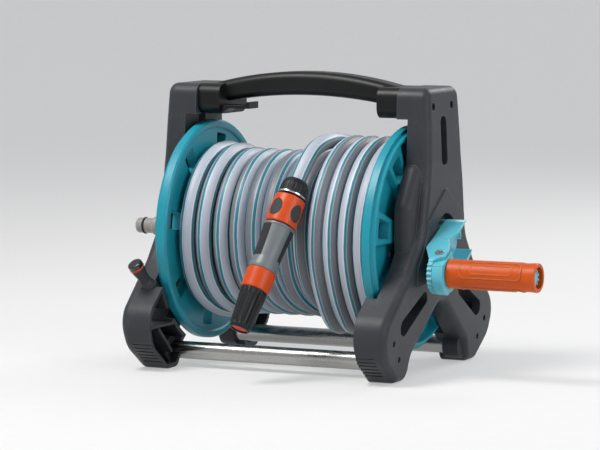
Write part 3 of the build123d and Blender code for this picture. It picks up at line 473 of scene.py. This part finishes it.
def place_group(tree, group, **inputs):
    """Place a node group and fill its inputs."""
    return chain(tree, "ShaderNodeGroup", [("node_tree", group)], **inputs)


# %% [markdown]
# A mould leaves a fine grain on plastic, and the colour of a large moulding drifts slowly in clouds. Both
# appear in many finishes. They could be repeated in each, but as a node group they are made once.

# %% Moulded grain
grain_group, given, result = new_group(
    "moulded grain",
    [
        ("Vector", "NodeSocketVector", None),
        ("Grain size", "NodeSocketFloat", 1400.0),
        ("Cloud size", "NodeSocketFloat", 16.0),
    ],
    [("Height", "NodeSocketFloat"), ("Cloud", "NodeSocketFloat")],
)
fine = chain(
    grain_group, "ShaderNodeTexNoise",
    Vector=given.outputs["Vector"], Scale=given.outputs["Grain size"], Detail=3.0, Roughness=0.55,
)
cloud = chain(
    grain_group, "ShaderNodeTexNoise",
    Vector=given.outputs["Vector"], Scale=given.outputs["Cloud size"], Detail=4.0, Roughness=0.6,
)
grain_group.links.new(fine.outputs["Fac"], result.inputs["Height"])
grain_group.links.new(cloud.outputs["Fac"], result.inputs["Cloud"])
print(grain_group.name, "has", len(grain_group.nodes), "nodes")

# %% [markdown]
# Pale rubbing and dust gather in patches on parts that are handled or stand on the ground. One noise
# alone gives soft blots, so a coarse one that says where is multiplied by a fine one that breaks it up.

# %% Rubbing and dust
rub_group, given, result = new_group(
    "rubbed and dusty",
    [
        ("Vector", "NodeSocketVector", None),
        ("Patch size", "NodeSocketFloat", 30.0),
        ("Amount", "NodeSocketFloat", 0.3),
    ],
    [("Mask", "NodeSocketFloat")],
)
patches = chain(
    rub_group, "ShaderNodeTexNoise",
    Vector=given.outputs["Vector"], Scale=given.outputs["Patch size"], Detail=6.0, Roughness=0.7,
)
specks = chain(rub_group, "ShaderNodeTexNoise", Vector=given.outputs["Vector"], Scale=520.0, Detail=2.0)
spread = chain(rub_group, "ShaderNodeMapRange", Value=patches.outputs["Fac"], From_Min=0.5, From_Max=0.8)
broken = chain(rub_group, "ShaderNodeMapRange", Value=specks.outputs["Fac"], From_Min=0.42, From_Max=0.62)
speckled = calculate(rub_group, "MULTIPLY", spread.outputs["Result"], broken.outputs["Result"])
mask = calculate(rub_group, "MULTIPLY", speckled, given.outputs["Amount"])
rub_group.links.new(mask, result.inputs["Mask"])
print(rub_group.name, "has", len(rub_group.nodes), "nodes")

# %% [markdown]
# No moulding has razor edges. A bevel on every mesh would round them, but it would add many faces, so
# the edges are rounded in the light only. Where the rounded and the true direction of the surface
# differ there is an edge, and the finishes paint a pale highlight there, standing partly for rubbing.

# %% Softened edges
edge_group, given, result = new_group(
    "softened edges",
    [("Radius", "NodeSocketFloat", 0.0008)],
    [("Normal", "NodeSocketVector"), ("Mask", "NodeSocketFloat")],
)
rounded = chain(edge_group, "ShaderNodeBevel", [("samples", 4)], Radius=given.outputs["Radius"])
flat = edge_group.nodes.new("ShaderNodeNewGeometry")
agreement = dot(edge_group, rounded.outputs["Normal"], flat.outputs["Normal"])
# this mask marks the edges, where the finishes paint a pale highlight
edges = chain(edge_group, "ShaderNodeMapRange", Value=agreement, From_Min=0.99, From_Max=0.85)
edge_group.links.new(rounded.outputs["Normal"], result.inputs["Normal"])
edge_group.links.new(edges.outputs["Result"], result.inputs["Mask"])
print(edge_group.name, "has", len(edge_group.nodes), "nodes")


# %% [markdown]
# The nozzle's rubber grip is covered in rows of dots, its thumb pads have fine ridges and its tip is
# fluted. Of all this the solid has only short grooves at the tip's wide end. The patterns could be
# modelled, but they are less than a millimetre deep, so each is worked out as a height from the place
# alone and shows as a bump. A sine wave along a line gives ridges, two waves multiplied together give
# dots, and a wave round the nozzle's own line gives flutes.

# %% Raised patterns
def ridges(tree, place, ways, pitch):
    """Height of even ridges square to each way; two ways together leave rows of dots."""
    height = 1.0
    for way in ways:
        turns = calculate(tree, "MULTIPLY", dot(tree, place, way), 2 * pi / pitch)
        height = calculate(tree, "MULTIPLY", calculate(tree, "SINE", turns), height)
    return height


def flutes(tree, place, count, cone_start, cone_end, fade_in=5 * MM, fade_out=4 * MM):
    """Height of flutes that run down the nozzle's cone and fade out at both of its ends."""
    from_mouth = chain(
        tree, "ShaderNodeVectorMath", [("operation", "SUBTRACT")], _0=place, _1=nozzle_mouth,
    )
    ways = (nozzle_way, nozzle_side, nozzle_way.cross(nozzle_side))
    along, across, up = (dot(tree, from_mouth.outputs["Vector"], way) for way in ways)
    turns = calculate(tree, "MULTIPLY", calculate(tree, "ARCTAN2", up, across), count)
    rise = chain(
        tree, "ShaderNodeMapRange", Value=along, From_Min=cone_start, From_Max=cone_start + fade_in,
    )
    fall = chain(
        tree, "ShaderNodeMapRange",
        Value=along, From_Min=cone_end - fade_out, From_Max=cone_end, To_Min=1.0, To_Max=0.0,
    )
    inside = calculate(tree, "MULTIPLY", rise.outputs["Result"], fall.outputs["Result"])
    return calculate(tree, "MULTIPLY", calculate(tree, "COSINE", turns), inside)


def grip_dots(tree, place):
    """Rows of dots on the nozzle's rubber grip."""
    return ridges(tree, place, [nozzle_way, nozzle_side], 2.2 * MM)


def pad_ridges(tree, place):
    """Fine ridges across the thumb pads."""
    return ridges(tree, place, [nozzle_way], 1.4 * MM)


def tip_flutes(tree, place):
    """Sixteen flutes on the cone of the nozzle's tip."""
    return flutes(tree, place, 16, 133 * MM, 173 * MM)


# %% [markdown]
# Nearly every piece is moulded plastic or rubber. A plain colour looks like a drawing, so the colour
# drifts a little between darker and lighter and is paler where dust has settled. Along the edges it is
# painted paler as a highlight, which stands partly for rubbing too. The gloss drifts with the clouds
# too. The light is bent round each edge first, and the grain and any raised pattern are laid on that.

# %% Moulded plastics
# how far the clouds move a plastic's roughness down and up
smoother, rougher = 0.06, 0.08


def shaded(colour, factor):
    """A colour made darker or lighter by a factor."""
    return (*(min(1.0, part * factor) for part in colour[:3]), 1.0)


# worn sets how far the edges are painted towards the dust colour as a highlight, partly standing for
# rubbing
def moulded(
    name, code, roughness, depth=0.00006, dust=0.25, dust_and_highlight_code="9a9b9a", coat=0.0, contrast=0.16,
    edge=0.0008, edge_highlight=0.25, specular=0.5, relief=None, relief_depth=0.0003,
):
    """A moulded plastic or rubber: grain, cloudy shade, soft edges with a painted highlight, and dust."""
    material, tree, shader, place = start_material(name)
    grain = place_group(tree, grain_group, Vector=place)
    rubbed = place_group(tree, rub_group, Vector=place, Patch_size=26.0, Amount=dust)
    soft = place_group(tree, edge_group, Radius=edge)

    base = rgb(code)
    shade = chain(tree, "ShaderNodeMapRange", Value=grain.outputs["Cloud"], From_Min=0.3, From_Max=0.7)
    cloudy = blend(tree, shade.outputs["Result"], shaded(base, 1 - contrast), shaded(base, 1 + contrast))
    dusty = blend(tree, rubbed.outputs["Mask"], cloudy, rgb(dust_and_highlight_code))
    # painted highlight: the edges are blended towards the pale dust colour, partly standing for rubbing
    painted_edge_highlight = calculate(tree, "MULTIPLY", soft.outputs["Mask"], edge_highlight)
    tree.links.new(blend(tree, painted_edge_highlight, dusty, rgb(dust_and_highlight_code)), shader.inputs["Base Color"])

    gloss = chain(
        tree, "ShaderNodeMapRange",
        Value=grain.outputs["Cloud"], From_Min=0.25, From_Max=0.75,
        To_Min=roughness - smoother, To_Max=roughness + rougher,
    )
    tree.links.new(gloss.outputs["Result"], shader.inputs["Roughness"])

    bump = chain(
        tree, "ShaderNodeBump",
        Height=grain.outputs["Height"], Distance=depth, Strength=0.6, Normal=soft.outputs["Normal"],
    )
    if relief:
        bump = chain(
            tree, "ShaderNodeBump",
            Height=relief(tree, place), Distance=relief_depth, Normal=bump.outputs["Normal"],
        )
    tree.links.new(bump.outputs["Normal"], shader.inputs["Normal"])
    shader.inputs["Coat Weight"].default_value = coat
    shader.inputs["Specular IOR Level"].default_value = specular
    return material


# %% [markdown]
# Steel shows in three ways: bright plated tubes with faint lengthwise polishing marks, duller zinc on
# the screws, and the turned ring and pin. Metal takes its colour from what it mirrors, and with one even
# roughness it looks like plastic foil, so the roughness changes. On the tubes it changes in streaks
# along the bar; on the small pieces the same noise isn't stretched and reads as fine specks.

# %% Metals
along_the_bar, fine_specks = (6.0, 500.0, 500.0), (200.0, 200.0, 200.0)
# the shares of its roughness between which a metal's streaks run
streak_low, streak_high = 0.7, 1.5


def steel(name, code, roughness, stretch):
    """Bare or plated metal with streaks or specks, dulled in patches."""
    material, tree, shader, place = start_material(name)
    along = chain(tree, "ShaderNodeMapping", Vector=place, Scale=stretch)
    streaks = chain(tree, "ShaderNodeTexNoise", Vector=along.outputs["Vector"], Scale=1.0, Detail=3.0)
    rubbed = place_group(tree, rub_group, Vector=place, Patch_size=40.0, Amount=0.35)
    finish = chain(
        tree, "ShaderNodeMapRange",
        Value=streaks.outputs["Fac"], From_Min=0.3, From_Max=0.7,
        To_Min=roughness * streak_low, To_Max=roughness * streak_high,
    )
    dulled = calculate(tree, "ADD", finish.outputs["Result"], rubbed.outputs["Mask"])
    tree.links.new(dulled, shader.inputs["Roughness"])
    bump = chain(tree, "ShaderNodeBump", Height=streaks.outputs["Fac"], Distance=0.00001, Strength=0.5)
    tree.links.new(bump.outputs["Normal"], shader.inputs["Normal"])
    tone = blend(tree, rubbed.outputs["Mask"], rgb(code), rgb("8d8c88"))
    tree.links.new(tone, shader.inputs["Base Color"])
    shader.inputs["Metallic"].default_value = 1.0
    return material


# %% [markdown]
# The hose is extruded in several colours at once: broad pale bands and darker grey bands with a thin
# teal line at each border. Bands worked out from the place alone would slide off a hose that bends, so
# the colour follows the curve's own UV map, whose second number goes once round the hose. Very fine
# lengthwise ribs break the highlight.

# %% Hose finish
patterns_round, ribs_round = 2.0, 60
border_waver = 0.012
# one pattern: where each colour stands on the way across it
band_stops = [
    (0.0, "15798a"), (0.045, "15798a"), (0.06, "dfe4ea"), (0.12, "b4bbc8"), (0.40, "abb2c0"),
    (0.43, "d3d9e1"), (0.445, "15798a"), (0.555, "15798a"), (0.57, "b9bfc9"), (0.62, "74787f"),
    (0.90, "696d74"), (0.945, "a5abb5"), (0.96, "15798a"),
]


def colour_ramp(tree, share, stops):
    """The colour at a share of the way through a list of places and colour codes."""
    ramp = chain(tree, "ShaderNodeValToRGB", Fac=share)
    marks = ramp.color_ramp.elements
    for mark, (position, code) in zip(marks, (stops[0], stops[-1])):
        mark.position, mark.color = position, rgb(code)
    for position, code in stops[1:-1]:
        marks.new(position).color = rgb(code)
    return ramp.outputs["Color"]


def hose_material(name):
    """Banded hose colour on the curve's UV map."""
    material, tree, shader, place = start_material(name)
    uv = chain(tree, "ShaderNodeUVMap", [("uv_map", "UVMap")])
    parts = chain(tree, "ShaderNodeSeparateXYZ", Vector=uv.outputs["UV"])
    waver = chain(tree, "ShaderNodeTexNoise", Vector=place, Scale=35.0, Detail=2.0)
    shift = chain(
        tree, "ShaderNodeMapRange", Value=waver.outputs["Fac"], To_Min=-border_waver, To_Max=border_waver,
    )
    way_round = calculate(tree, "ADD", parts.outputs["Y"], shift.outputs["Result"])
    share = calculate(tree, "FRACT", calculate(tree, "MULTIPLY", way_round, patterns_round))
    rubbed = place_group(tree, rub_group, Vector=place, Patch_size=45.0, Amount=0.25)
    dusty = blend(tree, rubbed.outputs["Mask"], colour_ramp(tree, share, band_stops), rgb("a8a6a2"))
    tree.links.new(dusty, shader.inputs["Base Color"])
    ribs = calculate(tree, "SINE", calculate(tree, "MULTIPLY", parts.outputs["Y"], ribs_round * 2 * pi))
    bump = chain(tree, "ShaderNodeBump", Height=ribs, Distance=0.00004, Strength=0.5)
    tree.links.new(bump.outputs["Normal"], shader.inputs["Normal"])
    gloss = chain(tree, "ShaderNodeMapRange", Value=waver.outputs["Fac"], To_Min=0.34, To_Max=0.5)
    tree.links.new(gloss.outputs["Result"], shader.inputs["Roughness"])
    return material


# %% [markdown]
# The side frames are dark grey with a pale painted highlight along their edges, on bright tubes. The
# carrying handle and the hose hook are nearly black. One grey for all of it would be simpler, but they
# would run together.

# %% Finishes of the frame
materials = {
    # the frame's edges get a pale painted highlight
    "frame": moulded(
        "dark grey moulding", "34373b", 0.45, dust=0.25, dust_and_highlight_code="808386", contrast=0.12, edge=0.0012,
        edge_highlight=0.45, specular=0.28,
    ),
    "tube": steel("bright plated steel", "a8a8a6", 0.2, along_the_bar),
    "handle": moulded("black handle moulding", "0e0f10", 0.4, dust=0.1, dust_and_highlight_code="4a4c4f", specular=0.28),
    "screw": steel("zinc screw", "9fa1a4", 0.38, fine_specks),
}
print("frame finishes:", ", ".join(materials))

# %% [markdown]
# The drum is a deep teal and the crank a lighter and glossier one, with an orange grip. The fittings
# inside the drum are dark grey, the inlet's nipple is pale and the seals are black. A texture of its
# own for each would be more work and no truer: apart from the steel pin they are all one moulded
# plastic with a colour and a wear of its own.

# %% Finishes of the drum and the crank
materials |= {
    "reel": moulded(
        "teal drum moulding", "1b91a4", 0.36, dust=0.12, dust_and_highlight_code="6fb3bd", contrast=0.08, specular=0.35,
    ),
    "inner_plastic": moulded("inner fitting moulding", "34373a", 0.5),
    "nipple": moulded("pale fitting moulding", "918e8a", 0.42, dust=0.2, contrast=0.1),
    "seal": moulded("seal rubber", "16171a", 0.55, dust=0.1),
    # the crank's edges get a strong, nearly white painted highlight
    "crank": moulded(
        "light teal crank moulding", "5bbccd", 0.3, dust=0.12, dust_and_highlight_code="b9e3ea", contrast=0.08,
        edge_highlight=0.8, edge=0.001, specular=0.4,
    ),
    "pin": steel("turned pin", "a9abad", 0.3, fine_specks),
    # the grip's edges get a strong pale painted highlight
    "grip": moulded(
        "orange grip moulding", "c8500c", 0.4, dust=0.08, dust_and_highlight_code="e59a5c", contrast=0.08, edge_highlight=0.9,
        edge=0.0006, specular=0.28,
    ),
}
print("finishes so far:", len(materials))

# %% [markdown]
# The nozzle and its connector are made of dark, grey, orange and red plastic with soft rubber and one
# turned ring. The post they can be parked on has an orange ring and a glossy black cap. The fluted tip
# could have values of its own, but it is moulded from the connector's dark plastic, so both share one
# set.

# %% Finishes of the hose and the nozzle
dark_nozzle = {
    "code": "17191b", "roughness": 0.44, "dust": 0.15, "dust_and_highlight_code": "55585b", "edge": 0.0004,
    "specular": 0.3,
}
materials |= {
    "hose": hose_material("banded hose"),
    "nozzle_dark": moulded("dark nozzle moulding", **dark_nozzle),
    "fluted_tip": moulded("fluted nozzle tip", **dark_nozzle, relief=tip_flutes, relief_depth=0.0007),
    "nozzle_metal": steel("turned ring", "c9cbcd", 0.2, fine_specks),
    "nozzle_grip": moulded(
        "soft nozzle grip", "222426", 0.62, dust=0.15, dust_and_highlight_code="55585b", edge=0.0004, relief=grip_dots,
        relief_depth=0.0004,
    ),
    "nozzle_orange": moulded(
        "orange nozzle moulding", "cd480d", 0.36, dust=0.08, dust_and_highlight_code="e39a63", contrast=0.08,
        edge=0.0005, specular=0.35,
    ),
    "nozzle_pad": moulded(
        "grey thumb pad", "3f4447", 0.6, dust=0.15, dust_and_highlight_code="6d7276", edge=0.0003, relief=pad_ridges,
    ),
    "nozzle_grey": moulded("grey nozzle moulding", "6e7477", 0.42, dust=0.12, contrast=0.1, edge=0.0005),
    "nozzle_outlet": moulded("red outlet moulding", "c8331c", 0.4, dust=0.05),
    "cap": moulded("glossy black cap", "101113", 0.16, depth=0.00001, dust=0.05, coat=0.6),
}
print(len(materials), "finishes")

# %% [markdown]
# The solid model names a slot for each node. Finishes could be given to the nodes one by one, but the
# slots do it in one loop. Only the nozzle's tip departs from its slot, to take the fluted finish.

# %% Finishes onto the pieces
slots = {entry["node"]: entry["material_slot"] for entry in frame["record"]["subparts"]}
slots["nozzle_tip"] = "fluted_tip"
for name, node in nodes.items():
    for slot in node.material_slots:
        slot.material = materials[slots[name]]
for piece, slot in ((wound_hose, "hose"), (hose_end, "hose"), (fold_rivet, "pin"), (arm_shell, "crank")):
    piece.data.materials.append(materials[slot])
print(len(materials), "materials on", len(nodes), "nodes")

# %% [markdown]
# The floor's pale shade is faintly cloudy. Stronger lamps would make it paler but wash out the cart, so
# it has a weak glow of its own. Only the camera, mirrors and clear pieces see that glow, and it doesn't
# light the cart from below.

# %% Floor finish
glow_share = 0.4
floor_material, tree, shader, place = start_material("pale floor")
speckle = chain(tree, "ShaderNodeTexNoise", Vector=place, Scale=60.0, Detail=4.0)
pale = chain(tree, "ShaderNodeMapRange", Value=speckle.outputs["Fac"], To_Min=0.70, To_Max=0.76)
tree.links.new(pale.outputs["Result"], shader.inputs["Base Color"])
shader.inputs["Roughness"].default_value = 0.7
rays = tree.nodes.new("ShaderNodeLightPath").outputs
mirrored = calculate(tree, "MAXIMUM", rays["Is Glossy Ray"], rays["Is Transmission Ray"])
seen = calculate(tree, "MAXIMUM", rays["Is Camera Ray"], mirrored)
glow = tree.nodes.new("ShaderNodeEmission").outputs["Emission"]
mixed = chain(
    tree, "ShaderNodeMixShader",
    _0=calculate(tree, "MULTIPLY", seen, glow_share), _1=shader.outputs["BSDF"], _2=glow,
)
tree.links.new(mixed.outputs["Shader"], tree.nodes["Material Output"].inputs["Surface"])
floor.data.materials.append(floor_material)
print(floor_material.name, "has", len(tree.nodes), "nodes")
